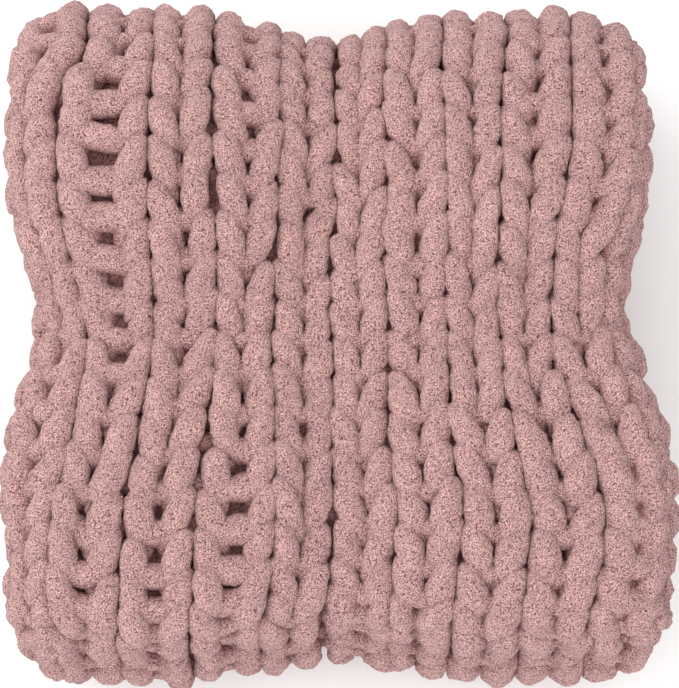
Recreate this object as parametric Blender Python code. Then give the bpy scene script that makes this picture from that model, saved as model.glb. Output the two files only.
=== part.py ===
"""Folded chunky knit blanket: one thick knitted strip, folded back and forth to a square plump pack.

Metres, +Z up. The pack lies on its back on z = 0. The spine of the fold is on +Y, and the two tight
folds are on -Y. The ropes of the knit run from the spine to the folds.
"""

import math

import bmesh
import bpy
import numpy as np

NODE = "folded_blanket"

# ---- layers -------------------------------------------------------------------------------------
PACK_HEIGHT = 0.160  # four layers with their gaps, before the crowns lift it
LAYER_GAP = 0.004
LAYER_COUNT = 4
LAYER_THICK = (PACK_HEIGHT - (LAYER_COUNT - 1) * LAYER_GAP) / LAYER_COUNT
LAYER_PITCH = LAYER_THICK + LAYER_GAP

# ---- section, front to back ---------------------------------------------------------------------
SPINE_END = 0.226  # outermost point of the spine
SPINE_REACH = 0.092  # how far the spine's curve runs in Y
UPPER_FOLD_END = -0.2095  # the fold that joins the face to the layer under it
LOWER_FOLD_END = -0.228  # the fold that joins the back to the layer on top of it

# ---- sides --------------------------------------------------------------------------------------
SIDE_ROUND = 0.023  # how far each layer's rounded side runs in X
BULGE_LEFT = 0.142  # the middle layers stand out this share further than the face
BULGE_RIGHT = 0.195
SIDE_ROPES = 2  # ropes on each rounded side, after the last face rope

# ---- crowns and waists --------------------------------------------------------------------------
CROWN_HEIGHT = 0.167
WAIST_DIP = 0.026  # how far the cross of waists presses the face in
WAIST_SPREAD = 0.040
DIP_FADE = 2.5  # the dip dies out towards the back at this power of the height
WAIST_Y = 0.012
EDGE_DROP = 0.012

# ---- ropes --------------------------------------------------------------------------------------
ROPE_DEPTH = 0.0085  # from a rope's top down to the valley beside it
SHOULDER_DROP = 0.0017
SHOULDER_REACH = 0.0052
LADDER_AFTER = 1  # the wide ladder lies after this face rope
LADDER_FLOOR = 0.0075  # half the width of the ladder's floor, at most

# Each face rope's X in millimetres at these Y stations, from the left side to the right.
ROPE_ROWS_Y = (-0.184, -0.171, -0.121, -0.064, -0.011, 0.052, 0.099, 0.151, 0.185)
ROPE_ROWS_X = (
    # Y stations, from the folds to the spine, as in ROPE_ROWS_Y
    (-170.7, -179.6, -176.1, -166.5, -158.0, -169.8, -180.6, -179.0, -156.6),
    (-157.1, -163.6, -160.5, -148.6, -142.3, -151.7, -158.3, -155.8, -137.2),
    (-137.4, -137.7, -138.7, -128.6, -118.6, -120.9, -123.7, -121.8, -116.4),
    (-118.8, -120.6, -117.5, -109.1, -103.1, -102.5, -105.3, -103.5, -100.4),
    (-96.3, -95.6, -96.4, -89.0, -82.3, -81.7, -85.2, -86.3, -83.2),
    (-76.6, -78.0, -75.3, -66.8, -65.7, -63.9, -64.5, -66.1, -64.3),
    (-54.7, -50.6, -46.1, -46.3, -48.5, -47.3, -44.9, -42.6, -43.0),
    (-38.0, -33.2, -31.0, -31.0, -30.1, -30.7, -28.3, -28.4, -29.3),
    (-20.6, -15.7, -13.9, -13.3, -12.8, -14.0, -11.1, -10.5, -12.0),
    (0.8, 3.2, 6.0, 3.8, 4.3, 2.0, 6.1, 6.1, 7.5),
    (22.2, 22.0, 25.0, 20.4, 20.5, 17.8, 21.2, 18.7, 20.5),
    (34.6, 39.5, 41.4, 37.5, 37.2, 34.5, 36.1, 34.2, 34.5),
    (52.3, 57.6, 60.6, 55.1, 54.5, 55.2, 54.4, 52.0, 49.6),
    (71.7, 75.1, 79.3, 72.2, 69.4, 69.4, 69.3, 67.4, 66.1),
    (89.5, 94.9, 98.5, 89.8, 84.4, 84.4, 85.4, 84.6, 83.7),
    (109.6, 114.1, 118.4, 108.1, 99.4, 99.9, 101.5, 101.8, 101.6),
    (129.2, 135.1, 140.1, 128.6, 114.4, 115.5, 119.9, 124.2, 120.1),
    (147.7, 156.3, 160.8, 148.1, 131.1, 130.5, 140.1, 144.3, 137.8),
    (170.2, 182.7, 186.1, 169.0, 150.8, 146.8, 164.6, 167.2, 158.2),
)

# Outline of the pack before its bulge, in millimetres: the two sides at stations of Y.
SIDE_ROWS = (
    # Y       left     right
    (-228.0, -187.0, 172.0),
    (-200.0, -191.5, 180.5),
    (-180.0, -194.0, 183.5),
    (-150.0, -196.0, 187.0),
    (-106.0, -199.0, 189.5),
    (-60.0, -195.0, 184.0),
    (-32.0, -189.0, 175.0),
    (-8.0, -180.5, 168.0),
    (14.0, -178.0, 163.0),
    (40.0, -183.5, 164.5),
    (62.0, -188.5, 167.5),
    (84.0, -194.0, 172.0),
    (130.0, -199.0, 177.0),
    (176.0, -197.5, 175.0),
    (200.0, -191.5, 170.5),
    (226.0, -184.0, 163.0),
)

# The two ends at stations of X, in millimetres.
END_ROWS = (
    # X       folds    spine
    (-199.0, -204.0, 211.0),
    (-190.0, -210.0, 217.0),
    (-178.0, -220.0, 224.0),
    (-163.0, -226.5, 230.5),
    (-120.0, -229.5, 229.0),
    (-85.0, -228.0, 228.5),
    (-58.0, -222.0, 222.0),
    (-28.0, -219.5, 211.0),
    (-2.0, -212.0, 207.5),
    (20.0, -215.5, 213.5),
    (38.0, -218.0, 221.0),
    (58.0, -225.0, 224.0),
    (90.0, -228.0, 224.5),
    (125.0, -227.5, 227.0),
    (148.0, -225.0, 221.5),
    (165.0, -222.5, 214.0),
    (178.0, -216.0, 205.5),
    (190.0, -207.0, 198.0),
)

# ---- stations along the folded strip ------------------------------------------------------------
FACE_ROWS = (-0.140, -0.112, -0.082, -0.052, -0.028, -0.008, 0.012, 0.032, 0.053, 0.080, 0.108)
INNER_ROWS = (-0.112, -0.068, -0.024, 0.012, 0.048, 0.090)
BACK_ROWS = (0.060, 0.0, -0.070)
# The two inner layers taper to fill the spine: Y, height off the pack's middle, share of the thickness.
TIP_ROWS = ((0.180, 0.0082, 0.30), (0.174, 0.0125, 0.58), (0.159, 0.0170, 0.80), (0.134, 0.0201, 1.0))
FOLD_STEPS = 6
SPINE_STEPS = 8
INNER_SIDE_POINTS = 4


def smooth_row(x, xs, ys):
    """Cubic through the rows of a table, without overshoot, held flat outside it."""
    xs = np.asarray(xs, float)
    ys = np.asarray(ys, float)
    step = np.diff(xs)
    rise = np.diff(ys) / step
    slope = np.zeros(len(xs))
    same = rise[1:] * rise[:-1] > 0
    slope[1:-1][same] = (2 * rise[1:] * rise[:-1] / (rise[1:] + rise[:-1] + 1e-12))[same]
    x = np.clip(x, xs[0], xs[-1])
    i = np.clip(np.searchsorted(xs, x) - 1, 0, len(xs) - 2)
    t = (x - xs[i]) / step[i]
    a = ys[i] * (1 + 2 * t) * (1 - t) ** 2 + ys[i + 1] * t * t * (3 - 2 * t)
    return a + step[i] * (slope[i] * t * (1 - t) ** 2 - slope[i + 1] * t * t * (1 - t))


def side_at(y, column):
    rows = np.array(SIDE_ROWS) * 0.001
    return smooth_row(y, rows[:, 0], rows[:, column])


def end_at(x, column):
    rows = np.array(END_ROWS) * 0.001
    return smooth_row(x, rows[:, 0], rows[:, column])


def raised(x, y, z):
    """Height in the plump pack: four crowns with a cross of waists between them, flat below."""
    line = -0.002 - 0.030 * y
    across = 1 - math.exp(-(((x - line) / WAIST_SPREAD) ** 2))
    along = 1 - math.exp(-(((y - WAIST_Y) / WAIST_SPREAD) ** 2))
    crown = CROWN_HEIGHT - EDGE_DROP * (abs(x) / 0.2) ** 6
    share = max(0.0, z / PACK_HEIGHT)
    return crown * share - WAIST_DIP * (1 - across * along) * share ** DIP_FADE


def to_pack(x, y, z, layer_z):
    """From the straight section to the plump pack, for a point of the layer that runs at layer_z."""
    level = layer_z / PACK_HEIGHT * 2 - 1
    bulge = BULGE_LEFT if x < 0 else BULGE_RIGHT
    wide = x * (1 + bulge * (1 - level**4))
    if y > 0:
        long = y * end_at(x, 2) / SPINE_END
    else:
        long = y * end_at(x, 1) / LOWER_FOLD_END
    return wide, float(long), raised(x, y, z)


def centre_line():
    """Stations along the strip: (y, z, outward y, outward z, thickness share, rope depth share)."""
    half = LAYER_THICK / 2
    levels = [half + k * LAYER_PITCH for k in range(LAYER_COUNT)]
    turn = LAYER_PITCH / 2
    upper_y = UPPER_FOLD_END + turn + half
    lower_y = LOWER_FOLD_END + turn + half
    spine_y = SPINE_END - SPINE_REACH
    stations = []

    def add(y, z, ny, nz, thick, depth):
        stations.append((y, z, ny, nz, thick, depth))

    for y, off, thick in TIP_ROWS:
        add(y, PACK_HEIGHT / 2 + off, 0.0, -1.0, thick, 0.0)
    for y in reversed(INNER_ROWS):
        add(y, levels[2], 0.0, -1.0, 1.0, 0.1)
    for i in range(FOLD_STEPS + 1):
        a = math.pi * i / FOLD_STEPS
        depth = min(1.0, 0.25 + 1.5 * i / FOLD_STEPS)
        middle = (levels[2] + levels[3]) / 2
        add(upper_y - turn * math.sin(a), middle - turn * math.cos(a), -math.sin(a), -math.cos(a), 1.0, depth)
    for y in FACE_ROWS:
        add(y, levels[3], 0.0, 1.0, 1.0, 1.0)
    reach = SPINE_REACH - half
    rise = (levels[3] - levels[0]) / 2
    for i in range(SPINE_STEPS + 1):
        a = math.pi * i / SPINE_STEPS
        y, z = spine_y + reach * math.sin(a), PACK_HEIGHT / 2 + rise * math.cos(a)
        ny, nz = math.sin(a) / reach, math.cos(a) / rise
        n = math.hypot(ny, nz)
        add(y, z, ny / n, nz / n, 1.0, min(1.0, max(0.0, 3.4 * (1 - i / SPINE_STEPS) - 0.34)))
    for y in BACK_ROWS:
        add(y, levels[0], 0.0, -1.0, 1.0, 0.0)
    for i in range(FOLD_STEPS + 1):
        a = math.pi * i / FOLD_STEPS
        depth = min(1.0, 1.9 * i / FOLD_STEPS, 0.25 + 1.7 * (1 - i / FOLD_STEPS))
        middle = (levels[0] + levels[1]) / 2
        add(lower_y - turn * math.sin(a), middle - turn * math.cos(a), -math.sin(a), -math.cos(a), 1.0, depth)
    for y in INNER_ROWS:
        add(y, levels[1], 0.0, 1.0, 1.0, 0.1)
    for y, off, thick in reversed(TIP_ROWS):
        add(y, PACK_HEIGHT / 2 - off, 0.0, 1.0, thick, 0.0)
    return stations


def face_ropes(y):
    rows = np.array(ROPE_ROWS_X) * 0.001
    return [float(smooth_row(y, ROPE_ROWS_Y, row)) for row in rows]


def along_girth(x, left, right):
    """A face X as a distance round the strip, which keeps running on down both sides."""
    turn = (SIDE_ROUND + LAYER_THICK / 2) / 2
    if x > right - SIDE_ROUND:
        return right - SIDE_ROUND + turn * math.asin(min(0.95, (x - right + SIDE_ROUND) / SIDE_ROUND))
    if x < left + SIDE_ROUND:
        return left + SIDE_ROUND - turn * math.asin(min(0.95, (left + SIDE_ROUND - x) / SIDE_ROUND))
    return x


def on_girth(girth, left, right):
    """The point at a distance round the strip: x, height, and the outward direction there."""
    half = LAYER_THICK / 2
    turn = (SIDE_ROUND + half) / 2
    if girth > right - SIDE_ROUND:
        a, way, x = (girth - right + SIDE_ROUND) / turn, 1, right - SIDE_ROUND
    elif girth < left + SIDE_ROUND:
        a, way, x = (left + SIDE_ROUND - girth) / turn, -1, left + SIDE_ROUND
    else:
        return girth, half, 0.0, 1.0
    nx, nh = math.sin(a) / SIDE_ROUND, math.cos(a) / half
    n = math.hypot(nx, nh)
    return x + way * SIDE_ROUND * math.sin(a), half * math.cos(a), way * nx / n, nh / n


def ring_at(y):
    """Cross-section of the strip: ropes over the face and both sides, then the plain inner side.

    Each entry is (x, height, outward x, outward height, depth below the ropes' tops).
    """
    left, right = float(side_at(y, 1)), float(side_at(y, 2))
    turn = (SIDE_ROUND + LAYER_THICK / 2) / 2
    ends = (left + SIDE_ROUND - turn * math.pi, right - SIDE_ROUND + turn * math.pi)
    face = [along_girth(x, left, right) for x in face_ropes(y)]
    before = [face[0] + (ends[0] - face[0]) * k / (SIDE_ROPES + 0.5) for k in range(SIDE_ROPES, 0, -1)]
    after = [face[-1] + (ends[1] - face[-1]) * k / (SIDE_ROPES + 0.5) for k in range(1, SIDE_ROPES + 1)]
    ropes = before + face + after
    marks = [(ends[0], ROPE_DEPTH * 0.5)]
    for i, girth in enumerate(ropes):
        low = (girth - ropes[i - 1]) / 2 if i else girth - ends[0]
        high = (ropes[i + 1] - girth) / 2 if i + 1 < len(ropes) else ends[1] - girth
        marks.append((girth - min(SHOULDER_REACH, low * 0.6), SHOULDER_DROP))
        if SIDE_ROPES <= i < len(ropes) - SIDE_ROPES:
            marks.append((girth, 0.0))
        marks.append((girth + min(SHOULDER_REACH, high * 0.6), SHOULDER_DROP))
        if i == SIDE_ROPES + LADDER_AFTER:
            floor = min(LADDER_FLOOR, high * 0.35)
            marks.append((girth + high - floor, ROPE_DEPTH))
            marks.append((girth + high + floor, ROPE_DEPTH))
        elif i + 1 < len(ropes):
            marks.append((girth + high, ROPE_DEPTH))
    marks.append((ends[1], ROPE_DEPTH * 0.5))
    ring = [on_girth(girth, left, right) + (depth,) for girth, depth in marks]
    ropes_end = len(ring)
    span = right - left - 2 * SIDE_ROUND
    for i in range(1, INNER_SIDE_POINTS + 1):
        x = right - SIDE_ROUND - span * i / (INNER_SIDE_POINTS + 1)
        ring.append((x, -LAYER_THICK / 2, 0.0, -1.0, 0.0))
    return ring, ropes_end


def strip_mesh():
    points = []
    for y, z, ny, nz, thick, share in centre_line():
        ring, ropes_end = ring_at(y)
        points.append([])
        for x, h, out_x, out_h, depth in ring:
            cut = depth * (share + (1 - share) * abs(out_x)) if thick == 1.0 else 0.0
            h = h * thick - out_h * cut
            points[-1].append(to_pack(x - out_x * cut, y + ny * h, z + nz * h, z))
    return points, ropes_end


def zip_cap(ropes, plain):
    """Triangles between the roped side and the plain side of an end, both given left to right."""
    faces = []
    i = j = 0
    while i + 1 < len(ropes) or j + 1 < len(plain):
        if j + 1 == len(plain) or (i + 1 < len(ropes) and ropes[i + 1].co.x <= plain[j + 1].co.x):
            faces.append((ropes[i], ropes[i + 1], plain[j]))
            i += 1
        else:
            faces.append((ropes[i], plain[j + 1], plain[j]))
            j += 1
    return [corners for corners in faces if len(set(corners)) == 3]


def cloth_material():
    material = bpy.data.materials.new("dusty_pink_chenille")
    material.use_nodes = True
    shader = material.node_tree.nodes["Principled BSDF"]
    shader.inputs["Base Color"].default_value = (0.53, 0.30, 0.28, 1.0)
    shader.inputs["Roughness"].default_value = 0.95
    shader.inputs["Metallic"].default_value = 0.0
    return material


def build():
    points, ropes_end = strip_mesh()
    bm = bmesh.new()
    grid = [[bm.verts.new(p) for p in row] for row in points]
    around = len(grid[0])
    for first, second in zip(grid, grid[1:]):
        for j in range(around):
            k = (j + 1) % around
            bm.faces.new((first[j], first[k], second[k], second[j]))
    for row in (grid[0], grid[-1]):
        plain = [row[0]] + row[:ropes_end - 1:-1] + [row[ropes_end - 1]]
        for corner in zip_cap(row[:ropes_end], plain):
            bm.faces.new(corner)
    bmesh.ops.recalc_face_normals(bm, faces=bm.faces)
    xs, ys, zs = zip(*(v.co for v in bm.verts))
    middle = ((min(xs) + max(xs)) / 2, (min(ys) + max(ys)) / 2, min(zs))
    for vertex in bm.verts:
        vertex.co.x -= middle[0]
        vertex.co.y -= middle[1]
        vertex.co.z -= middle[2]
    mesh = bpy.data.meshes.new(NODE)
    bm.to_mesh(mesh)
    bm.free()
    mesh.materials.append(cloth_material())
    blanket = bpy.data.objects.new(NODE, mesh)
    bpy.context.scene.collection.objects.link(blanket)
    print(NODE, "origin", [round(c, 5) for c in middle], "faces", len(mesh.polygons))


for old in list(bpy.data.objects):
    bpy.data.objects.remove(old)
build()
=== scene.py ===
"""Dressed scene of the folded chunky knit blanket: real yarn loops over the folded strip."""

import logging
import math
from dataclasses import dataclass, field
from enum import Enum

import bpy
import numpy as np
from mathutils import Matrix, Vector


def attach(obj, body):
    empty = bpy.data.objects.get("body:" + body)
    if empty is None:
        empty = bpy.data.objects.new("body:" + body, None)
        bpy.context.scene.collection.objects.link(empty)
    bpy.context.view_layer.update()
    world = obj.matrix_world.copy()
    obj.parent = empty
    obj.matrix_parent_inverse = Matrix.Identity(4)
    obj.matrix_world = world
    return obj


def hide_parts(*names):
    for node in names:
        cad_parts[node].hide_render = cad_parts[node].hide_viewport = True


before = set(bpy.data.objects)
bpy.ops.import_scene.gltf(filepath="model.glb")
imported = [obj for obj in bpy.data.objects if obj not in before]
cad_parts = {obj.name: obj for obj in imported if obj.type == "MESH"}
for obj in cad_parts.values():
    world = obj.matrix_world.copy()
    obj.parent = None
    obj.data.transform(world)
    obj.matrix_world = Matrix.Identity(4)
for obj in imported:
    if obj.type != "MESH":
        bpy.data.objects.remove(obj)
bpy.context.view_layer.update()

NODE = "folded_blanket"
log = logging.getLogger("scene")
Array = np.ndarray
Socket = bpy.types.NodeSocket

# Every length below is in metres, and the tables are in millimetres.
MM = 0.001
TINY = 1e-12  # added where a length of nought would divide
NORMAL_TINY = 1e-9  # the same, for a direction between two samples
IMAGE_WIDTH = 679  # in pixels
LUMPS_SEED = 7
ORIGIN_SHIFT = (-0.00112, 0.00046)  # the CAD moves its own origin by this to its box's middle

# Where each face rope lies in X, from the left side to the right, at these stations of Y. A
# separate program worked them out from places that were read off the photograph.
ROPE_ROWS_Y = (-184.0, -171.0, -121.0, -64.0, -11.0, 52.0, 99.0, 151.0, 185.0)
ROPE_ROWS_X = (
    (-170.7, -179.6, -176.1, -166.5, -158.0, -169.8, -180.6, -179.0, -156.6),
    (-157.1, -163.6, -160.5, -148.6, -142.3, -151.7, -158.3, -155.8, -137.2),
    (-137.4, -137.7, -138.7, -128.6, -118.6, -120.9, -123.7, -121.8, -116.4),
    (-118.8, -120.6, -117.5, -109.1, -103.1, -102.5, -105.3, -103.5, -100.4),
    (-96.3, -95.6, -96.4, -89.0, -82.3, -81.7, -85.2, -86.3, -83.2),
    (-76.6, -78.0, -75.3, -66.8, -65.7, -63.9, -64.5, -66.1, -64.3),
    (-54.7, -50.6, -46.1, -46.3, -48.5, -47.3, -44.9, -42.6, -43.0),
    (-38.0, -33.2, -31.0, -31.0, -30.1, -30.7, -28.3, -28.4, -29.3),
    (-20.6, -15.7, -13.9, -13.3, -12.8, -14.0, -11.1, -10.5, -12.0),
    (0.8, 3.2, 6.0, 3.8, 4.3, 2.0, 6.1, 6.1, 7.5),
    (22.2, 22.0, 25.0, 20.4, 20.5, 17.8, 21.2, 18.7, 20.5),
    (34.6, 39.5, 41.4, 37.5, 37.2, 34.5, 36.1, 34.2, 34.5),
    (52.3, 57.6, 60.6, 55.1, 54.5, 55.2, 54.4, 52.0, 49.6),
    (71.7, 75.1, 79.3, 72.2, 69.4, 69.4, 69.3, 67.4, 66.1),
    (89.5, 94.9, 98.5, 89.8, 84.4, 84.4, 85.4, 84.6, 83.7),
    (109.6, 114.1, 118.4, 108.1, 99.4, 99.9, 101.5, 101.8, 101.6),
    (129.2, 135.1, 140.1, 128.6, 114.4, 115.5, 119.9, 124.2, 120.1),
    (147.7, 156.3, 160.8, 148.1, 131.1, 130.5, 140.1, 144.3, 137.8),
    (170.2, 182.7, 186.1, 169.0, 150.8, 146.8, 164.6, 167.2, 158.2),
)

# The pack's two sides before its bulge, and its two ends.
SIDE_ROWS = (
    # Y       left     right
    (-228.0, -187.0, 172.0),
    (-200.0, -191.5, 180.5),
    (-180.0, -194.0, 183.5),
    (-150.0, -196.0, 187.0),
    (-106.0, -199.0, 189.5),
    (-60.0, -195.0, 184.0),
    (-32.0, -189.0, 175.0),
    (-8.0, -180.5, 168.0),
    (14.0, -178.0, 163.0),
    (40.0, -183.5, 164.5),
    (62.0, -188.5, 167.5),
    (84.0, -194.0, 172.0),
    (130.0, -199.0, 177.0),
    (176.0, -197.5, 175.0),
    (200.0, -191.5, 170.5),
    (226.0, -184.0, 163.0),
)
END_ROWS = (
    # X       folds    spine
    (-199.0, -204.0, 211.0),
    (-190.0, -210.0, 217.0),
    (-178.0, -220.0, 224.0),
    (-163.0, -226.5, 230.5),
    (-120.0, -229.5, 229.0),
    (-85.0, -228.0, 228.5),
    (-58.0, -222.0, 222.0),
    (-28.0, -219.5, 211.0),
    (-2.0, -212.0, 207.5),
    (20.0, -215.5, 213.5),
    (38.0, -218.0, 221.0),
    (58.0, -225.0, 224.0),
    (90.0, -228.0, 224.5),
    (125.0, -227.5, 227.0),
    (148.0, -225.0, 221.5),
    (165.0, -222.5, 214.0),
    (178.0, -216.0, 205.5),
    (190.0, -207.0, 198.0),
)


def smooth_row(x: Array, xs: Array, ys: Array) -> Array:
    """Cubic through the rows of a table, without overshoot, held flat outside it.

    Args:
        x: Where to read the table.
        xs: The rows' positions, rising.
        ys: The rows' values.

    Returns:
        The value at each x.
    """
    step = np.diff(xs)
    rise = np.diff(ys) / step
    slope = np.zeros(len(xs))
    same = rise[1:] * rise[:-1] > 0
    slope[1:-1][same] = (2 * rise[1:] * rise[:-1] / (rise[1:] + rise[:-1] + TINY))[same]
    x = np.clip(x, xs[0], xs[-1])
    i = np.clip(np.searchsorted(xs, x) - 1, 0, len(xs) - 2)
    t = (x - xs[i]) / step[i]
    value = ys[i] * (1 + 2 * t) * (1 - t) ** 2 + ys[i + 1] * t * t * (3 - 2 * t)
    return value + step[i] * (slope[i] * t * (1 - t) ** 2 - slope[i + 1] * t * t * (1 - t))


class Lumps:
    """Smooth random field in space, from a fixed lattice."""

    def __init__(self, seed: int, size: int = 32) -> None:
        """Draws the lattice.

        Args:
            seed: Seed of the random draws.
            size: Points along each edge of the lattice, which repeats.
        """
        self.size = size
        self.cells = np.random.default_rng(seed).uniform(-1, 1, (size, size, size))

    def at(self, points: Array, scale: float) -> Array:
        """Reads the field.

        Args:
            points: Positions, (..., 3).
            scale: Size of one lump.

        Returns:
            Values from -1 to 1.
        """
        p = points / scale
        low = np.floor(p).astype(int)
        t = p - low
        t = t * t * (3 - 2 * t)
        total = np.zeros(p.shape[:-1])
        for corner in range(8):
            bits = np.array([corner & 1, corner >> 1 & 1, corner >> 2 & 1])
            i = (low + bits) % self.size
            weight = np.prod(np.where(bits, t, 1 - t), axis=-1)
            total += weight * self.cells[i[..., 0], i[..., 1], i[..., 2]]
        return total


class Part(Enum):
    """Stretches of the folded strip, from one inner end to the other."""

    INNER_UPPER = 0
    UPPER_FOLD = 1
    FACE = 2
    SPINE = 3
    BACK = 4
    LOWER_FOLD = 5
    INNER_LOWER = 6


@dataclass
class PackForm:
    """The folded strip's surface, in the CAD solid's own sizes.

    A place on it is a distance along the strip, a distance round its girth, and a height above the
    tops of its ropes.
    """

    pack_height: float = 0.160
    layer_gap: float = 0.004
    layer_count: int = 4
    spine_end: float = 0.226
    spine_reach: float = 0.092
    upper_fold_end: float = -0.2095
    lower_fold_end: float = -0.228
    side_round: float = 0.023
    bulge_left: float = 0.142
    bulge_right: float = 0.195
    bulge_power: int = 4
    crown_height: float = 0.167
    waist_dip: float = 0.026
    waist_spread: float = 0.040
    dip_fade: float = 2.5
    waist_y: float = 0.012
    waist_line: tuple = (-0.002, -0.030)  # X of the lengthwise waist at y = 0, and its slope
    edge_drop: float = 0.012
    edge_reach: float = 0.2
    edge_power: int = 6
    side_shares: tuple = (0.35, 0.72)  # the two ropes on a rounded side, from the face's last rope
    steepest: float = 0.95  # sine of the steepest place on a rounded side that a face rope takes
    grid: tuple = (-0.23, 0.23, 231)  # the stations of Y at which the ropes' places are kept
    seam: float = 1e-6  # between two stretches of the middle line
    parts: dict = field(default_factory=dict)

    # An inner layer's tapered end: y, distance off the pack's middle, and share of its thickness.
    TIP_ROWS = (
        (0.180, 0.0082, 0.30),
        (0.174, 0.0125, 0.58),
        (0.159, 0.0170, 0.80),
        (0.134, 0.0201, 1.00),
    )
    GRID_MARGIN = 1.001  # how far from the grid's end a place stays, in stations
    # Samples of the middle line in each kind of stretch.
    INNER_SAMPLES = 240
    FLAT_SAMPLES = 200
    FOLD_SAMPLES = 120
    SPINE_SAMPLES = 300

    def __post_init__(self) -> None:
        """Works out the path along the strip and the ropes' places round it."""
        self.thick = (self.pack_height - (self.layer_count - 1) * self.layer_gap) / self.layer_count
        self.pitch = self.thick + self.layer_gap
        self.half = self.thick / 2
        self.turn = (self.side_round + self.half) / 2
        self._lay_path()
        self._lay_ropes()

    def _inner(self, side: float, y0: float, y1: float) -> Array:
        """An inner layer, with its tapered end.

        Args:
            side: 1 above the pack's middle, -1 under it.
            y0: Where it starts.
            y1: Where it stops.

        Returns:
            Samples of y, z, outward y, outward z and thickness share.
        """
        ys = np.linspace(y0, y1, self.INNER_SAMPLES)
        tips = np.array(self.TIP_ROWS)[::-1]
        off = np.interp(ys, tips[:, 0], tips[:, 1])
        share = np.interp(ys, tips[:, 0], tips[:, 2])
        z = self.pack_height / 2 + side * off
        return np.stack([ys, z, 0 * ys, -side + 0 * ys, share], 1)

    def _flat(self, y0: float, y1: float, z: float, way: float) -> Array:
        """A straight layer from y0 to y1 at a height, facing up or down, sampled as _inner is."""
        ys = np.linspace(y0, y1, self.FLAT_SAMPLES)
        return np.stack([ys, z + 0 * ys, 0 * ys, way + 0 * ys, 1 + 0 * ys], 1)

    def _fold(self, y: float, z: float) -> Array:
        """A tight fold, from its lower half to its upper.

        Args:
            y: Its middle in Y.
            z: Its middle's height.

        Returns:
            Samples as _inner gives them.
        """
        a, bend = np.linspace(0, math.pi, self.FOLD_SAMPLES), self.pitch / 2
        columns = [y - bend * np.sin(a), z - bend * np.cos(a), -np.sin(a), -np.cos(a), 1 + 0 * a]
        return np.stack(columns, 1)

    def _spine(self, y: float, rise: float) -> Array:
        """The spine, half an ellipse from the face down to the back.

        Args:
            y: Where it leaves the flat layers.
            rise: Half its height.

        Returns:
            Samples as _inner gives them.
        """
        a, reach = np.linspace(0, math.pi, self.SPINE_SAMPLES), self.spine_reach - self.half
        normal = np.stack([np.sin(a) / reach, np.cos(a) / rise], 1)
        normal /= np.linalg.norm(normal, axis=1)[:, None]
        z = self.pack_height / 2 + rise * np.cos(a)
        return np.stack([y + reach * np.sin(a), z, normal[:, 0], normal[:, 1], 1 + 0 * a], 1)

    def _lay_path(self) -> None:
        """Samples the strip's middle line, and measures it along the outer side."""
        levels = [self.half + k * self.pitch for k in range(self.layer_count)]
        bend = self.pitch / 2
        upper_y = self.upper_fold_end + bend + self.half
        lower_y = self.lower_fold_end + bend + self.half
        spine_y = self.spine_end - self.spine_reach
        tip_y = self.TIP_ROWS[0][0]
        stretches = (
            (Part.INNER_UPPER, self._inner(1.0, tip_y, upper_y)),
            (Part.UPPER_FOLD, self._fold(upper_y, (levels[2] + levels[3]) / 2)),
            (Part.FACE, self._flat(upper_y, spine_y, levels[3], 1.0)),
            (Part.SPINE, self._spine(spine_y, (levels[3] - levels[0]) / 2)),
            (Part.BACK, self._flat(spine_y, lower_y, levels[0], -1.0)),
            (Part.LOWER_FOLD, self._fold(lower_y, (levels[0] + levels[1]) / 2)),
            (Part.INNER_LOWER, self._inner(-1.0, lower_y, tip_y)),
        )
        rows, start = [], 0.0
        for part, samples in stretches:
            outer = samples[:, :2] + samples[:, 2:4] * self.half * samples[:, 4:5]
            steps = np.linalg.norm(np.diff(outer, axis=0), axis=1)
            along = start + np.concatenate([[0.0], np.cumsum(steps)])
            self.parts[part] = (start, along[-1])
            start = along[-1] + self.seam
            rows.append(np.column_stack([along, samples]))
        self.path = np.concatenate(rows)
        self.length = start

    def _lay_ropes(self) -> None:
        """Works out where each rope lies round the strip, on a grid of Y."""
        self.grid_y = np.linspace(*self.grid)
        rope_y = np.array(ROPE_ROWS_Y) * MM
        side = np.array(SIDE_ROWS) * MM
        self.left = smooth_row(self.grid_y, side[:, 0], side[:, 1])
        self.right = smooth_row(self.grid_y, side[:, 0], side[:, 2])
        low, high = self.left + self.side_round, self.right - self.side_round
        columns = []
        for row in ROPE_ROWS_X:
            x = smooth_row(self.grid_y, rope_y, np.array(row) * MM)
            past, short = (x - high) / self.side_round, (low - x) / self.side_round
            over = np.arcsin(np.clip(past, 0, self.steepest)) * self.turn
            under = np.arcsin(np.clip(short, 0, self.steepest)) * self.turn
            columns.append(np.clip(x, low, high) + over - under)
        ends = (low - self.turn * math.pi, high + self.turn * math.pi)
        first, last, shares = columns[0], columns[-1], self.side_shares
        before = [ends[0]] + [first + (ends[0] - first) * k for k in reversed(shares)]
        after = [last + (ends[1] - last) * k for k in shares] + [ends[1]]
        self.rope_girths = np.stack(before + columns + after, 1)
        count, n = len(ROPE_ROWS_X), len(shares)
        numbers = list(range(-n, count + n))
        self.rope_numbers = np.array([-n - 0.5] + numbers + [count + n - 0.5])

    def centre(self, along: Array) -> tuple[Array, ...]:
        """Middle line of the strip.

        Args:
            along: Distance along the strip.

        Returns:
            y, z, outward y, outward z and the thickness share.
        """
        path = self.path
        y, z, ny, nz, share = (np.interp(along, path[:, 0], path[:, k]) for k in range(1, 6))
        n = np.hypot(ny, nz) + NORMAL_TINY
        return y, z, ny / n, nz / n, share

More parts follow.
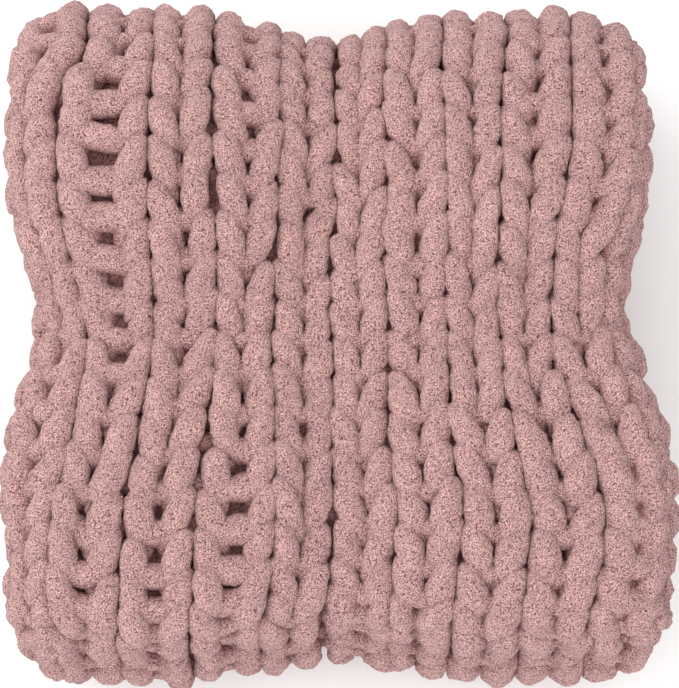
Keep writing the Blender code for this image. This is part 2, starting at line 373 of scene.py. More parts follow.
    def girth(self, rope: Array, along: Array) -> Array:
        """Where a rope lies round the strip.

        Args:
            rope: The rope's number, from 0 at the left of the face, or a share between two.
            along: Distance along the strip.

        Returns:
            Distance round the strip.
        """
        y = self.centre(along)[0]
        row = (y - self.grid_y[0]) / (self.grid_y[1] - self.grid_y[0])
        row = np.clip(row, 0, len(self.grid_y) - self.GRID_MARGIN)
        i = row.astype(int)
        ty = row - i
        ropes = self.rope_numbers
        rope = np.clip(rope, ropes[0], ropes[-1])
        j = np.clip(np.searchsorted(ropes, rope, side="right") - 1, 0, len(ropes) - 2)
        tx = (rope - ropes[j]) / (ropes[j + 1] - ropes[j])
        g = self.rope_girths
        low = g[i, j] * (1 - tx) + g[i, j + 1] * tx
        high = g[i + 1, j] * (1 - tx) + g[i + 1, j + 1] * tx
        return low * (1 - ty) + high * ty

    def section(self, x: Array, high: Array, along: Array) -> Array:
        """World points, from the place across the strip and the height off its middle line."""
        y, z, ny, nz, _ = self.centre(along)
        return self.to_pack(x, y + ny * high, z + nz * high, z)

    def point(self, girth: Array, along: Array, height: Array) -> Array:
        """World points over the strip's outer surface.

        Args:
            girth: Distance round the strip.
            along: Distance along the strip.
            height: Above the tops of the ropes.

        Returns:
            Points, (..., 3).
        """
        y, _, _, _, share = self.centre(along)
        left = np.interp(y, self.grid_y, self.left) + self.side_round
        right = np.interp(y, self.grid_y, self.right) - self.side_round
        over, under = np.maximum(0, girth - right), np.maximum(0, left - girth)
        angle = np.minimum((over + under) / self.turn, math.pi)
        way = np.where(over > 0, 1.0, -1.0)
        nx, nh = way * np.sin(angle) / self.side_round, np.cos(angle) / self.half
        n = np.hypot(nx, nh)
        x = np.clip(girth, left, right) + way * self.side_round * np.sin(angle) + nx / n * height
        return self.section(x, self.half * np.cos(angle) * share + nh / n * height, along)

    def to_pack(self, x: Array, y: Array, z: Array, layer_z: Array) -> Array:
        """From the straight section to the plump pack, in the CAD's frame.

        Args:
            x: Across the strip.
            y: From the folds to the spine.
            z: Height in the straight section.
            layer_z: Height of the layer's middle line, which its bulge goes by.

        Returns:
            Points, (..., 3).
        """
        ends = np.array(END_ROWS) * MM
        level = layer_z / self.pack_height * 2 - 1
        bulge = np.where(x < 0, self.bulge_left, self.bulge_right)
        wide = x * (1 + bulge * (1 - level**self.bulge_power))
        spine = smooth_row(x, ends[:, 0], ends[:, 2]) / self.spine_end
        folds = smooth_row(x, ends[:, 0], ends[:, 1]) / self.lower_fold_end
        long = y * np.where(y > 0, spine, folds)
        line = self.waist_line[0] + self.waist_line[1] * y
        across = 1 - np.exp(-(((x - line) / self.waist_spread) ** 2))
        lengthwise = 1 - np.exp(-(((y - self.waist_y) / self.waist_spread) ** 2))
        edge = (np.abs(x) / self.edge_reach) ** self.edge_power
        crown = self.crown_height - self.edge_drop * edge
        share = np.maximum(0.0, z / self.pack_height)
        dip = self.waist_dip * (1 - across * lengthwise) * share ** self.dip_fade
        high = crown * share - dip
        return np.stack([wide - ORIGIN_SHIFT[0], long - ORIGIN_SHIFT[1], high], -1)


class Graph:
    """One node material, with short ways to add nodes to it."""

    def __init__(self, name: str) -> None:
        """Starts a material with its shader.

        Args:
            name: The material's name.
        """
        self.material = bpy.data.materials.new(name)
        self.material.use_nodes = True
        self.nodes, self.links = self.material.node_tree.nodes, self.material.node_tree.links
        self.shader = self.nodes["Principled BSDF"]

    def add(self, kind: str, **settings: str) -> bpy.types.Node:
        """Adds a node.

        Args:
            kind: Its type, after ShaderNode.
            **settings: Its own settings, such as operation or feature.

        Returns:
            The node.
        """
        node = self.nodes.new("ShaderNode" + kind)
        for key, value in settings.items():
            setattr(node, key, value)
        return node

    def noise(self, place: Socket, size: float, detail: float,
              rough: float = 0.5) -> bpy.types.Node:
        """Adds a noise of one lump size.

        Args:
            place: Where it is read.
            size: Size of a lump.
            detail: Finer layers.
            rough: Their strength.

        Returns:
            The node.
        """
        node = self.add("TexNoise")
        for key, value in (("Scale", 1 / size), ("Detail", detail), ("Roughness", rough)):
            node.inputs[key].default_value = value
        self.links.new(place, node.inputs["Vector"])
        return node

    def ramp(self, value: Socket, stops: tuple) -> Socket:
        """Colours along a value.

        Args:
            value: The value, from 0 to 1.
            stops: Rows of position, red, green and blue.

        Returns:
            The colour.
        """
        node = self.add("ValToRGB")
        elements = node.color_ramp.elements
        for k, (at, *shares) in enumerate(stops):
            element = elements[k] if k < len(elements) else elements.new(at)
            element.position = at
            element.color = (*shares, 1)
        self.links.new(value, node.inputs["Fac"])
        return node.outputs["Color"]

    def multiply(self, colour: Socket, factor: Socket) -> Socket:
        """Multiplies one colour by another.

        Args:
            colour: The first.
            factor: The second, or a number.

        Returns:
            The product.
        """
        node = self.add("VectorMath", operation="MULTIPLY")
        self.links.new(colour, node.inputs[0])
        self.links.new(factor, node.inputs[1])
        return node.outputs[0]

    def spread(self, value: Socket, span: tuple) -> Socket:
        """Moves a value from one range to another.

        Args:
            value: The value.
            span: The first range's two ends, and the second's.

        Returns:
            The moved value.
        """
        node = self.add("MapRange")
        for key, end in zip(("From Min", "From Max", "To Min", "To Max"), span):
            node.inputs[key].default_value = end
        self.links.new(value, node.inputs["Value"])
        return node.outputs[0]

    def bump(self, height: Socket, distance: float, strength: float = 1.0) -> bpy.types.Node:
        """Adds a bump.

        Args:
            height: The height, from 0 to 1.
            distance: How high 1 stands.
            strength: How much of it shows.

        Returns:
            The node.
        """
        node = self.add("Bump")
        node.inputs["Distance"].default_value = distance
        node.inputs["Strength"].default_value = strength
        self.links.new(height, node.inputs["Height"])
        return node


@dataclass(frozen=True)
class ChenilleFinish:
    """Plush yarn: short pile in small tufts, with painted shade in the thin cracks between them and
    where it lies deep.
    """

    name: str = "chenille_pink"
    pile: tuple = (0.655, 0.402, 0.386)
    # Sizes of a tuft, its curl, a fleck, a closed-up crack, a change of tone and a clump.
    tuft: float = 0.0016
    curl: float = 0.0011
    fleck: float = 0.0007
    closed: float = 0.0012
    tone: float = 0.014
    clump: float = 0.0050
    tuft_bump: float = 0.0010
    clump_bump: float = 0.0016
    clump_strength: float = 0.6
    deepest_mm: float = 20.0
    roughness: float = 0.95
    diffuse_roughness: float = 1.0
    sheen: float = 0.25
    sheen_roughness: float = 0.5
    sheen_tint: tuple = (0.95, 0.72, 0.70, 1.0)

    # Painted shade: distance from a crack between tufts, in tufts, and the shares of red, green and
    # blue there, dark in the cracks and lighter over the tufts.
    CRACK_SHADE = (
        (0.03, 0.14, 0.05, 0.04),
        (0.09, 0.52, 0.37, 0.36),
        (0.16, 1.06, 1.06, 1.06),
        (0.40, 1.18, 1.23, 1.23),
    )
    # A fine noise over each tuft, and the same shares.
    FLECK = ((0.30, 0.56, 0.45, 0.44), (0.64, 1.22, 1.29, 1.30))
    # Painted shade: depth under the tops of the ropes in mm, and the same shares, darker the
    # deeper.
    DEPTH_SHADE = (
        (4.0, 1.00, 1.00, 1.00),
        (6.5, 0.95, 0.92, 0.91),
        (9.0, 0.78, 0.67, 0.65),
        (12.0, 0.62, 0.45, 0.43),
    )
    # A value's range and the range it is moved to: where cracks close up, the slow change of tone,
    # and how the distance from a crack makes the bump.
    CLOSED_SPAN = (0.35, 0.65, 0.0, 0.12)
    TONE_SPAN = (0.3, 0.7, 0.93, 1.07)
    BUMP_SPAN = (0.0, 0.35, 0.0, 1.0)

    def build(self) -> bpy.types.Material:
        """Makes the node material.

        Returns:
            The material.
        """
        graph = Graph(self.name)
        for key, value in (
            ("Roughness", self.roughness),
            ("Diffuse Roughness", self.diffuse_roughness),
            ("Sheen Weight", self.sheen),
            ("Sheen Roughness", self.sheen_roughness),
            ("Sheen Tint", self.sheen_tint),
        ):
            graph.shader.inputs[key].default_value = value
        place = graph.add("TexCoord").outputs["Object"]
        crack = self._crack(graph, place)
        graph.links.new(self._colour(graph, place, crack), graph.shader.inputs["Base Color"])
        clumps = graph.noise(place, self.clump, detail=2.0, rough=0.6).outputs["Fac"]
        soft = graph.bump(clumps, self.clump_bump, self.clump_strength)
        fine = graph.bump(graph.spread(crack, self.BUMP_SPAN), self.tuft_bump)
        graph.links.new(soft.outputs["Normal"], fine.inputs["Normal"])
        graph.links.new(fine.outputs["Normal"], graph.shader.inputs["Normal"])
        return graph.material

    def _crack(self, graph: Graph, place: Socket) -> Socket:
        """Distance from the cracks between curled tufts.

        Args:
            graph: The material's nodes.
            place: Where the pile is.

        Returns:
            The distance in tufts, raised where the cracks close up.
        """
        shifted = graph.add("VectorMath", operation="MULTIPLY_ADD")
        shifted.inputs[1].default_value = (self.curl,) * 3
        curls = graph.noise(place, self.curl, detail=1.0)
        graph.links.new(curls.outputs["Color"], shifted.inputs[0])
        graph.links.new(place, shifted.inputs[2])
        cells = graph.add("TexVoronoi", feature="DISTANCE_TO_EDGE")
        cells.inputs["Scale"].default_value = 1 / self.tuft
        graph.links.new(shifted.outputs[0], cells.inputs["Vector"])
        crack = graph.add("Math", operation="ADD")
        graph.links.new(cells.outputs["Distance"], crack.inputs[0])
        closed = graph.noise(place, self.closed, detail=0.0).outputs["Fac"]
        graph.links.new(graph.spread(closed, self.CLOSED_SPAN), crack.inputs[1])
        return crack.outputs[0]

    def _colour(self, graph: Graph, place: Socket, crack: Socket) -> Socket:
        """The pile's colour, with painted shade in the cracks and where it lies deep.

        Args:
            graph: The material's nodes.
            place: Where the pile is.
            crack: Distance from the cracks.

        Returns:
            The colour.
        """
        base = graph.add("VectorMath", operation="MULTIPLY")
        base.inputs[0].default_value = self.pile
        # Painted shade in the cracks between tufts.
        graph.links.new(graph.ramp(crack, self.CRACK_SHADE), base.inputs[1])
        depth = graph.add("Attribute", attribute_name="depth").outputs["Fac"]
        share = graph.spread(depth, (0.0, self.deepest_mm * MM, 0.0, 1.0))
        stops = tuple((mm / self.deepest_mm, *shares) for mm, *shares in self.DEPTH_SHADE)
        flecks = graph.ramp(graph.noise(place, self.fleck, detail=1.0).outputs["Fac"], self.FLECK)
        slow = graph.noise(place, self.tone, detail=2.0).outputs["Fac"]
        # Painted shade where the yarn lies deep under the tops of the ropes.
        colour = graph.multiply(base.outputs[0], graph.ramp(share, stops))
        return graph.multiply(graph.multiply(colour, flecks), graph.spread(slow, self.TONE_SPAN))


@dataclass(frozen=True)
class FloorFinish:
    """Plain pale studio floor."""

    name: str = "studio_floor"
    colour: tuple = (0.96, 0.96, 0.96, 1.0)
    roughness: float = 0.9

    def build(self) -> bpy.types.Material:
        """Makes the node material.

        Returns:
            The material.
        """
        graph = Graph(self.name)
        graph.shader.inputs["Base Color"].default_value = self.colour
        graph.shader.inputs["Roughness"].default_value = self.roughness
        return graph.material


def make_object(name: str, points: Array, quads: Array, depth: Array,
                material: bpy.types.Material) -> bpy.types.Object:
    """Makes a smooth-shaded mesh object.

    Args:
        name: The object's name.
        points: Vertices, (n, 3).
        quads: Corner numbers, (m, 4).
        depth: Depth of each vertex under the tops of the ropes, which the finish darkens by as
            painted shade.
        material: Its material.

    Returns:
        The object, linked to the scene.
    """
    mesh = bpy.data.meshes.new(name)
    mesh.vertices.add(len(points))
    mesh.vertices.foreach_set("co", points.astype(np.float32).ravel())
    mesh.loops.add(quads.size)
    mesh.loops.foreach_set("vertex_index", quads.astype(np.int32).ravel())
    mesh.polygons.add(len(quads))
    mesh.polygons.foreach_set("loop_start", np.arange(0, quads.size, 4, dtype=np.int32))
    depths = mesh.attributes.new("depth", "FLOAT", "POINT")
    depths.data.foreach_set("value", depth.astype(np.float32).ravel())
    mesh.update(calc_edges=True)
    mesh.validate()
    mesh.shade_smooth()
    mesh.materials.append(material)
    made = bpy.data.objects.new(name, mesh)
    bpy.context.scene.collection.objects.link(made)
    return made


@dataclass
class YarnRows:
    """Rows of stocking-stitch loops over a stretch of the strip, each row one running yarn."""

    form: PackForm
    name: str
    first: float
    last: float
    wales: tuple
    seed: int
    sides: int
    ring_step: float
    row_pitch: float = 0.0262
    phase: float = 0.5

    # Thickness.
    fill: float = 0.97  # share of the gap beside a rope that its yarn takes up
    slimmest: float = 0.0080
    touch: float = 0.0035  # depth at which the gaps are measured
    give: float = 0.0004  # how far two legs press into each other
    deep_give: float = 0.12  # the same, for each metre that the leg lies deep
    tip_thin: tuple = (0.2, 0.9)  # an inner layer's thin tip: least share, and its growth
    plump_spread: float = 0.035

    # Stance of the legs. A spread is the standard deviation of a random draw.
    lean: float = 0.80
    lean_spread: float = 0.26
    lean_range: tuple = (0.2, 1.4)
    side_lean: float = 0.80
    relief: float = 1.45
    relief_spread: float = 0.3
    relief_range: tuple = (0.6, 2.0)
    relief_shares: tuple = (0.4, 1.2)
    side_relief: float = 1.35
    slide_spread: float = 0.07
    slide_wave: float = 0.16
    slide_turn: float = 1.9
    lift_spread: float = 0.0009
    proud: float = 0.0022
    proud_chance: float = 0.07
    drift_spread: float = 0.0006

    # Tops of the loops. They and the bars lie further forward where the ropes stand apart. An
    # opening is the gap at which that starts, and how much wider the gap is where it ends.
    head_place: float = 1.62
    head_height: float = -0.0165
    head_rise: float = 0.0065
    head_radius: float = 0.0072
    head_opening: tuple = (0.0185, 0.005)

    # Bars between the wales.
    bar_place: float = -0.10
    bar_spread: float = 0.05
    bar_slant: float = 0.16
    bar_height: float = -0.0072
    bar_rise: float = 0.0040
    bar_radius: float = 0.0080
    bar_swell: float = 0.0018
    bar_uneven: float = 0.06
    bar_opening: tuple = (0.019, 0.010)

    # Surface.
    lump: float = 0.0006
    lump_size: float = 0.0090
    tuft: float = 0.0011
    tuft_size: float = 0.0027
    tuft_shift: float = 0.5
    floor_gap: float = 0.0002
    hidden: float = -0.0085
    hidden_step: float = 2.2
    # Painted shade and light: how much of a leg's height below the tops darkens it, and how much a
    # face turned up counts as facing out, which lightens it.
    own_depth: float = 0.75
    sky_share: float = 0.25

    # Distance round the girth and the yarn's greatest radius there, in mm.
    FATTEST = (
        (-182.0, 11.0), (-150.0, 10.6), (-115.0, 9.3), (-25.0, 8.9), (40.0, 9.7), (110.0, 11.2),
    )
    # One leg of a loop, from its round front end to its tail: share of a row, how far towards its
    # wale's middle and how high in mm, and its thickness.
    LEG = (
        (0.14, 3.0, -15.5, 0.62),
        (-0.08, 3.6, -9.5, 0.74),
        (-0.04, 3.7, -3.2, 0.84),
        (0.09, 3.1, -0.2, 0.94),
        (0.27, 1.8, 0.5, 1.00),
        (0.48, 0.2, 0.1, 1.03),
        (0.70, -1.4, -1.1, 1.01),
        (0.90, -2.8, -2.9, 0.94),
        (1.09, -4.1, -5.4, 0.83),
        (1.26, -5.2, -9.0, 0.72),
        (1.40, -5.2, -14.0, 0.62),
    )
    # A direction that no yarn starts along, which its first ring is turned by.
    START_ASIDE = (0.0, 0.31, 0.95)
    # The bar between two wales: rope beside the wale's first one, and how far back it lies.
    BAR = ((-0.86, 0.0012), (-0.68, 0.0), (-0.32, 0.0), (-0.14, 0.0012))

    def __post_init__(self) -> None:
        """Spaces the rows evenly over the stretch, and numbers the wales."""
        count = max(1, int(round((self.last - self.first) / self.row_pitch)))
        self.pitch = (self.last - self.first) / count
        self.starts = self.first + self.pitch * (np.arange(count) + self.phase)
        self.numbers = np.arange(*self.wales)

    def build(self, material: bpy.types.Material, lumps: Lumps) -> bpy.types.Object:
        """Lays every row and joins them in one object.

        Args:
            material: The yarn's finish.
            lumps: The yarn's unevenness.

        Returns:
            The object.
        """
        girth, along, height, radius = self._controls(np.random.default_rng(self.seed))
        rings = self._rings(self.form.point(girth, along, height - radius), height.mean(0))
        girth, along, height, radius = (
            self._refine(value, rings) for value in (girth, along, height, radius)
        )
        centre = self.form.point(girth, along, height - radius)
        outward = self.form.point(girth, along, height - radius + MM) - centre
        points, up = self._tube(centre, radius, outward / MM, lumps)
        # Painted shade: the finish darkens the yarn by this depth, more on flanks turned away from
        # the outside and lower down, less on faces turned up.
        depth = radius[..., None] * (1 - up) - self.own_depth * height[..., None]
        rows, length = centre.shape[:2]
        quads = self._quads(rows, length)
        made = make_object(self.name, points.reshape(-1, 3), quads, depth, material)
        log.info("%s: %d rows, %d triangles", self.name, rows, 2 * len(made.data.polygons))
        return made

    def _room(self, rope: Array, along: Array) -> Array:
        """Thickness that a rope has room for between its neighbours.

        Args:
            rope: The rope's number.
            along: Distance along the strip.

        Returns:
            The yarn's radius.
        """
        deep = np.full(along.shape, -self.touch)
        before = self.form.point(self.form.girth(rope - 1, along), along, deep)
        after = self.form.point(self.form.girth(rope + 1, along), along, deep)
        gap = np.linalg.norm(after - before, axis=-1) / 2
        share = self.form.centre(along)[4]
        places, most = np.array(self.FATTEST).T * MM
        fattest = np.interp(self.form.girth(rope, along), places, most)
        thin = np.minimum(1, self.tip_thin[0] + self.tip_thin[1] * share)
        return np.clip(gap / 2 * self.fill, self.slimmest, fattest) * thin

    def _limit(self, girth: Array, along: Array) -> Array:
        """Radius at which each leg meets the leg beside it.

        Args:
            girth: Places of the legs, (rows, wales, 2, points).
            along: The same, along the strip.

        Returns:
            The radii, in the same order.
        """
        places = self.form.point(girth, along, np.full(along.shape, -self.touch))
        places = places.reshape(len(girth), -1, girth.shape[-1], 3)
        low = -np.array(self.LEG)[:, 2] * MM
        apart = np.linalg.norm(np.diff(places, axis=1), axis=-1)
        half = apart / 2 + self.give + self.deep_give * low
        limit = np.full(places.shape[:3], np.inf)
        limit[:, :-1] = half
        limit[:, 1:] = np.minimum(limit[:, 1:], half)
        return limit.reshape(girth.shape)

    def _controls(self, rng: np.random.Generator) -> tuple[Array, ...]:
        """Control points of every row.

        Args:
            rng: Source of the random draws.

        Returns:
            Girth, along, height of the yarn's top, and radius, each (rows, points).
        """
        starts, wales = self.starts, self.numbers
        shape = (len(starts), len(wales), 2)
        number = 2 * wales[:, None] + np.arange(2)
        aside = (number < 0) | (number >= len(ROPE_ROWS_X))
        lean = np.clip(rng.normal(self.lean, self.lean_spread, shape), *self.lean_range)
        lean = (lean * np.where(aside, self.side_lean, 1))[..., None]
        relief = np.clip(rng.normal(self.relief, self.relief_spread, shape), *self.relief_range)
        relief = (relief * np.where(aside, self.side_relief, 1))[..., None]
        wave = self.slide_wave * np.sin(wales * self.slide_turn + self.seed)
        slide = (rng.normal(0, self.slide_spread, shape) + wave[None, :, None])[..., None]
        lift = rng.normal(0, self.lift_spread, shape)
        lift = (lift + np.where(rng.random(shape) < self.proud_chance, self.proud, 0))[..., None]
        plump = 1 + rng.normal(0, self.plump_spread, shape)[..., None]
        drift = rng.normal(0, self.drift_spread, shape)[..., None]
        share, tilt, high, thick = np.array(self.LEG).T
        way = np.array([1.0, -1.0])[:, None]
        along = starts[:, None, None, None] - (share + slide) * self.pitch
        rope = number[None, :, :, None] + 0 * along
        room = self._room(rope[..., 0], starts[:, None, None] + 0 * rope[..., 0])[..., None]
        girth = self.form.girth(rope, along) + way * tilt * MM * lean + drift
        limit = np.maximum(self._limit(girth, along), thick * self.slimmest)
        radius = np.minimum(thick * room * plump, limit)
        raised = (share > self.relief_shares[0]) & (share < self.relief_shares[1])
        height = high * MM * np.where(raised, relief, 1.0) + lift + 0 * along
        legs = (girth, along, height, radius)
        lines = []
        for leg, bar, head in zip(legs, self._bars(rng), self._heads()):
            loop = [bar, leg[:, :, 0], head[..., None], leg[:, :, 1, ::-1]]
            lines.append(np.concatenate(loop, -1).reshape(len(starts), -1))
        return tuple(lines)

    def _forward(self, rope: Array, along: Array, opening: tuple) -> Array:
        """How far forward the yarn lies behind a rope and the next, from 0 to 1."""
        wide = self.form.girth(rope + 1, along) - self.form.girth(rope, along)
        return np.clip((wide - opening[0]) / opening[1], 0, 1)

    def _heads(self) -> tuple[Array, ...]:
        """The middles of the loops' round tops, behind the next row.

        Returns:
            Girth, along, height and radius, each (rows, wales).
        """
        along = self.starts[:, None] - self.head_place * self.pitch + 0.0 * self.numbers
        first = 2.0 * self.numbers + 0 * along
        forward = self._forward(first, along, self.head_opening)
        height = self.head_height + self.head_rise * forward
        return self.form.girth(first + 0.5, along), along, height, 0 * along + self.head_radius

    def _bars(self, rng: np.random.Generator) -> tuple[Array, ...]:
        """The bars between the wales.

        Args:
            rng: Source of the random draws.

        Returns:
            Girth, along, height and radius, each (rows, wales, points).
        """
        offset, back = np.array(self.BAR).T
        shape = (len(self.starts), len(self.numbers), 1)
        shift, slant = rng.normal(0, self.bar_spread, shape), rng.normal(0, self.bar_slant, shape)
        place = self.bar_place + shift + slant * (offset + 0.5)
        along = self.starts[:, None, None] - place * self.pitch
        first = 2.0 * self.numbers[:, None] + 0 * along
        forward = self._forward(first - 1, along, self.bar_opening)
        uneven = 1 + rng.normal(0, self.bar_uneven, place.shape)
        radius = (self.bar_radius + self.bar_swell * forward) * uneven
        height = self.bar_height + self.bar_rise * forward - back
        return self.form.girth(first + offset, along), along, height, radius

    def _rings(self, controls: Array, height: Array) -> Array:
        """Where along the control points each ring of the tube stands, sparser out of sight.

        Args:
            controls: The control points, (rows, points, 3).
            height: Their mean height.

        Returns:
            Each ring's place, in control points from the first.
        """
        lengths = np.linalg.norm(np.diff(controls, axis=1), axis=2).mean(0)
        out_of_sight = (height[1:] + height[:-1]) / 2 < self.hidden
        step = np.where(out_of_sight, self.hidden_step, 1.0) * self.ring_step
        counts = np.maximum(1, np.round(lengths / step)).astype(int)
        steps = [i + np.arange(n) / n for i, n in enumerate(counts)]
        return np.concatenate(steps + [[float(len(counts))]])

    def _refine(self, values: Array, rings: Array) -> Array:
        """Catmull-Rom curve through the control points of each row.

        Args:
            values: A value at each control point, (rows, points).
            rings: Where the curve is read.

        Returns:
            The value at each ring, (rows, rings).
        """
        last = values.shape[1] - 1
        i = np.minimum(rings.astype(int), last - 1)
        t = rings - i
        p0, p1 = values[:, np.maximum(i - 1, 0)], values[:, i]
        p2, p3 = values[:, i + 1], values[:, np.minimum(i + 2, last)]
        return 0.5 * (2 * p1 + (p2 - p0) * t + (2 * p0 - 5 * p1 + 4 * p2 - p3) * t**2
                      + (3 * p1 - p0 - 3 * p2 + p3) * t**3)

    def _tube(self, centre: Array, radius: Array, outward: Array,
              lumps: Lumps) -> tuple[Array, Array]:
        """Rings round each row's line, carried along without twist and made uneven.

        Args:
            centre: The line of each row, (rows, rings, 3).
            radius: Its radius.
            outward: Direction away from the strip's middle at each ring.
            lumps: The yarn's unevenness.

        Returns:
            The points, and how far each one faces outwards or up, from -1 to 1.
        """
        tangent = np.gradient(centre, axis=1)
        tangent /= np.linalg.norm(tangent, axis=2)[..., None] + TINY
        side = np.cross(tangent[:, 0], self.START_ASIDE)
        side /= np.linalg.norm(side, axis=1)[:, None]
        frames = np.empty_like(centre)
        for k in range(centre.shape[1]):
            side = side - tangent[:, k] * (side * tangent[:, k]).sum(1)[:, None]
            side /= np.linalg.norm(side, axis=1)[:, None] + TINY
            frames[:, k] = side
        other = np.cross(tangent, frames)
        angle = 2 * math.pi * np.arange(self.sides) / self.sides
        cos, sin = np.cos(angle)[:, None], np.sin(angle)[:, None]
        out = frames[:, :, None] * cos + other[:, :, None] * sin
        points = centre[:, :, None] + out * radius[:, :, None, None]
        tufts = self.tuft * lumps.at(points + self.tuft_shift, self.tuft_size)
        uneven = self.lump * lumps.at(points, self.lump_size) + tufts
        points += out * uneven[..., None]
        points[..., 2] = np.maximum(points[..., 2], self.floor_gap)
        outward = outward / np.linalg.norm(outward, axis=-1)[..., None]
        # Faces turned up count as facing out, so the painted shade is lighter on them.
        up = np.maximum((out * outward[:, :, None]).sum(-1), self.sky_share * out[..., 2])
        return points, up

    def _quads(self, rows: int, length: int) -> Array:
        """Faces of the tubes.

        Args:
            rows: How many tubes there are.
            length: Rings of each.

        Returns:
            Corner numbers, (n, 4).
        """
        counts = (np.arange(rows), np.arange(length - 1), np.arange(self.sides))
        row, ring, corner = np.meshgrid(*counts, indexing="ij")
        base = (row * length + ring) * self.sides
        above = base + self.sides
        after = (corner + 1) % self.sides
        quads = np.stack([base + corner, base + after, above + after, above + corner], -1)
        return quads.reshape(-1, 4)


@dataclass
class Knit:
    """All the knitted stretches of the pack."""

    form: PackForm
    tip_clear: float = 0.024  # where the upper inner layer's side loops start, from its tip
    end_over: float = 0.004  # how far the lower one's run past its tip
    inner_reach: float = 0.05  # how far the knit runs inwards from a tight fold

    # First wale, and the one past the last. The strip has wales -1 to 10 round its outer side.
    ALL = (-1, 11)
    MIDDLE = (1, 9)
    LEFT = (-1, 1)
    RIGHT = (9, 11)

    def build(self, material: bpy.types.Material, lumps: Lumps) -> list[bpy.types.Object]:
        """Knits every stretch.

        Args:
            material: The yarn's finish.
            lumps: The yarn's unevenness.

        Returns:
            The objects.
        """
        parts = self.form.parts
        upper, face, spine = parts[Part.UPPER_FOLD], parts[Part.FACE], parts[Part.SPINE]
        back, lower = parts[Part.BACK], parts[Part.LOWER_FOLD]
        middle = (face[0] + face[1]) / 2
        tip, end = parts[Part.INNER_UPPER][0] + self.tip_clear, self.form.length + self.end_over
        before, after = upper[0] - self.inner_reach, lower[1] + self.inner_reach
        stretches = (
            # name, from, to, wales, seed, sides of the tube, ring step
            ("knit_upper_fold", upper[0], upper[1], self.ALL, 11, 22, 0.0023),
            ("knit_face_low", face[0], middle, self.ALL, 12, 22, 0.0025),
            ("knit_face_high", middle, face[1], self.ALL, 13, 22, 0.0025),
            ("knit_spine", spine[0], spine[1], self.ALL, 14, 18, 0.0034),
            ("knit_back", back[0], back[1], self.ALL, 15, 10, 0.0053),
            ("knit_lower_fold", lower[0], lower[1], self.ALL, 16, 18, 0.0028),
            ("knit_under_upper_fold", before, upper[0], self.MIDDLE, 21, 14, 0.0035),
            ("knit_over_lower_fold", lower[1], after, self.MIDDLE, 22, 14, 0.0035),
            ("knit_sides_upper_left", tip, upper[0], self.LEFT, 17, 14, 0.0035),
            ("knit_sides_upper_right", tip, upper[0], self.RIGHT, 18, 14, 0.0035),
            ("knit_sides_lower_left", lower[1], end, self.LEFT, 19, 14, 0.0035),
            ("knit_sides_lower_right", lower[1], end, self.RIGHT, 20, 14, 0.0035),
        )
        return [YarnRows(self.form, *stretch).build(material, lumps) for stretch in stretches]


@dataclass
class InnerPlies:
    """The cloth under the front yarn: three plies folded across, then folded with the strip."""

    form: PackForm
    name: str = "inner_plies"
    inset: float = 0.020  # from the strip's sides
    depths: tuple = (0.0190, 0.0260, 0.0325)
    ridge: float = 0.0018
    ridges: int = 22
    short: float = 0.036  # from the strip's ends
    painted_shade_depth: float = 0.011  # the depth of painted shade that the finish darkens them by
    flat: tuple = (1.27, 1.52)  # laid out as one sheet
    across: int = 76
    steps: int = 110
    bend_steps: int = 6

    def build(self, material: bpy.types.Material) -> bpy.types.Object:
        """Makes the folded sheet.

        Args:
            material: Its finish.

        Returns:
            The object.
        """
        along = np.linspace(self.short, self.form.length - self.short, self.steps)
        y, _, _, _, share = self.form.centre(along)
        left = np.interp(y, self.form.grid_y, self.form.left) + self.inset
        right = np.interp(y, self.form.grid_y, self.form.right) - self.inset
        x, high = self._section(left, right)
        wide_along = np.broadcast_to(along[:, None], x.shape)
        points = self.form.section(x, high * share[:, None], wide_along)
        # Painted shade: the plies are darkened all over, as yarn lying this deep is.
        depth = np.full(x.shape, self.painted_shade_depth)
        rows, columns = x.shape
        i, j = np.meshgrid(np.arange(rows - 1), np.arange(columns - 1), indexing="ij")
        base = (i * columns + j).ravel()
        quads = np.stack([base, base + 1, base + columns + 1, base + columns], 1)
        made = make_object(self.name, points.reshape(-1, 3), quads, depth, material)
        log.info("%s: %d faces", self.name, len(quads))
        return made

    def _section(self, left: Array, right: Array) -> tuple[Array, Array]:
        """The plies' line to and fro across the strip, with its round bends.

        Args:
            left: The plies' left edge at each step along the strip.
            right: Their right edge.

        Returns:
            Places across and off the middle line, each (steps, points).
        """
        xs, highs = [], []
        for ply, depth in enumerate(self.depths):
            t = np.linspace(0, 1, self.across)
            t = t if ply % 2 == 0 else 1 - t
            x = left[:, None] + (right - left)[:, None] * t
            wave = self.ridge * np.cos(2 * math.pi * self.ridges * t) if ply == 0 else 0 * t
            xs.append(x)
            highs.append(np.broadcast_to(self.form.half - depth + wave, x.shape))
            if ply + 1 < len(self.depths):
                a = np.linspace(0, math.pi, self.bend_steps)[1:-1]
                r = (self.depths[ply + 1] - depth) / 2
                way = 1.0 if ply % 2 == 0 else -1.0
                edge = (right if way > 0 else left)[:, None]
                xs.append(edge + way * r * np.sin(a)[None])
                high = self.form.half - depth - r + r * np.cos(a)
                highs.append(np.broadcast_to(high, xs[-1].shape))
        return np.concatenate(xs, 1), np.concatenate(highs, 1)


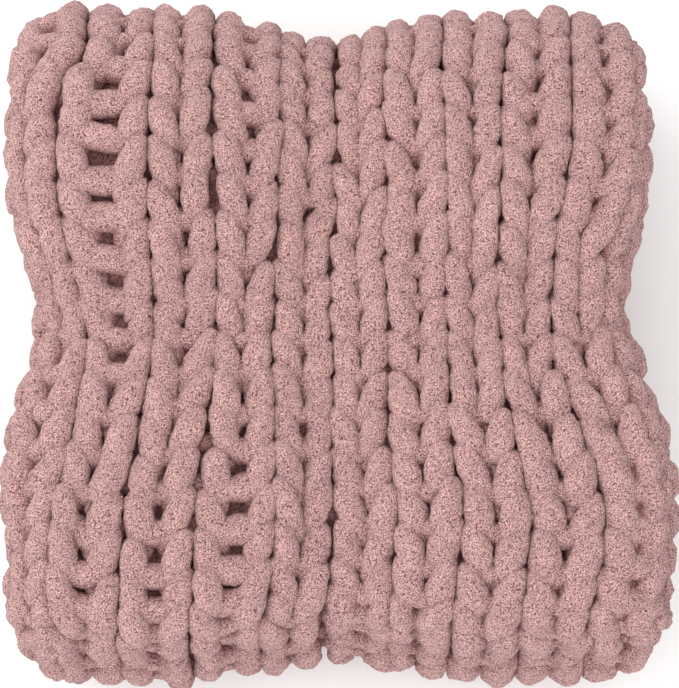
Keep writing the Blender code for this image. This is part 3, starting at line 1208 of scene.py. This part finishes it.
@dataclass
class Studio:
    """Floor, soft light and the camera."""

    distance: float = 2.0
    elevation: float = 84.0
    focal_pixels: float = 2985.0
    sensor: float = 36.0
    target: tuple = (0.00112, -0.00046, 0.080)
    light_target: tuple = (0.0, 0.0, 0.08)
    floor_reach: float = 6.0
    world_strength: float = 1.04

    # Name, place, size and power of each light.
    LIGHTS = (
        ("key", (-1.35, 0.85, 1.3), 2.2, 28.0),
        ("fill", (0.15, -2.0, 1.2), 2.4, 21.0),
    )

    def build(self, floor: FloorFinish) -> None:
        """Makes the stage.

        Args:
            floor: The floor's finish.
        """
        self._floor(floor)
        self._lights()
        self._camera()

    def _floor(self, finish: FloorFinish) -> None:
        """Lays a large plain floor.

        Args:
            finish: Its finish.
        """
        mesh = bpy.data.meshes.new("floor")
        r = self.floor_reach
        mesh.from_pydata([(-r, -r, 0), (r, -r, 0), (r, r, 0), (-r, r, 0)], [], [(0, 1, 2, 3)])
        mesh.materials.append(finish.build())
        floor = bpy.data.objects.new("floor", mesh)
        bpy.context.scene.collection.objects.link(floor)

    def _lights(self) -> None:
        """Sets a broad key from the upper left, a fill from the front, and a pale world."""
        world = bpy.data.worlds.new("studio")
        world.use_nodes = True
        background = world.node_tree.nodes["Background"]
        background.inputs["Color"].default_value = (1, 1, 1, 1)
        background.inputs["Strength"].default_value = self.world_strength
        bpy.context.scene.world = world
        for name, place, size, power in self.LIGHTS:
            data = bpy.data.lights.new(name, "AREA")
            data.energy = power
            data.shape = "SQUARE"
            data.size = size
            light = bpy.data.objects.new(name, data)
            light.location = place
            aim = Vector(self.light_target) - light.location
            light.rotation_euler = aim.to_track_quat("-Z", "Y").to_euler()
            bpy.context.scene.collection.objects.link(light)

    def _camera(self) -> None:
        """Sets the camera nearly overhead, tipped a little towards the folds."""
        data = bpy.data.cameras.new("camera")
        data.sensor_width = self.sensor
        data.sensor_fit = "HORIZONTAL"
        data.lens = self.focal_pixels * data.sensor_width / IMAGE_WIDTH
        camera = bpy.data.objects.new("camera", data)
        up = math.radians(self.elevation)
        back = Vector((0, -math.cos(up), math.sin(up)))
        camera.location = Vector(self.target) + back * self.distance
        camera.rotation_euler = (-back).to_track_quat("-Z", "Y").to_euler()
        bpy.context.scene.collection.objects.link(camera)
        bpy.context.scene.camera = camera


def main() -> None:
    """Builds the scene in order."""
    logging.basicConfig(level=logging.INFO, format="%(message)s")
    bpy.context.scene.view_settings.view_transform = "Standard"
    Studio().build(FloorFinish())
    form = PackForm()
    yarn = ChenilleFinish().build()
    knit = Knit(form).build(yarn, Lumps(LUMPS_SEED))
    plies = InnerPlies(form)
    sheet = plies.build(yarn)
    for piece in [sheet, *knit]:
        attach(piece, "root")
        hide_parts(NODE)
    triangles = sum(2 * len(piece.data.polygons) for piece in [sheet, *knit])
    log.info("triangles in all: %d", triangles)


if __name__ == "__main__":
    main()
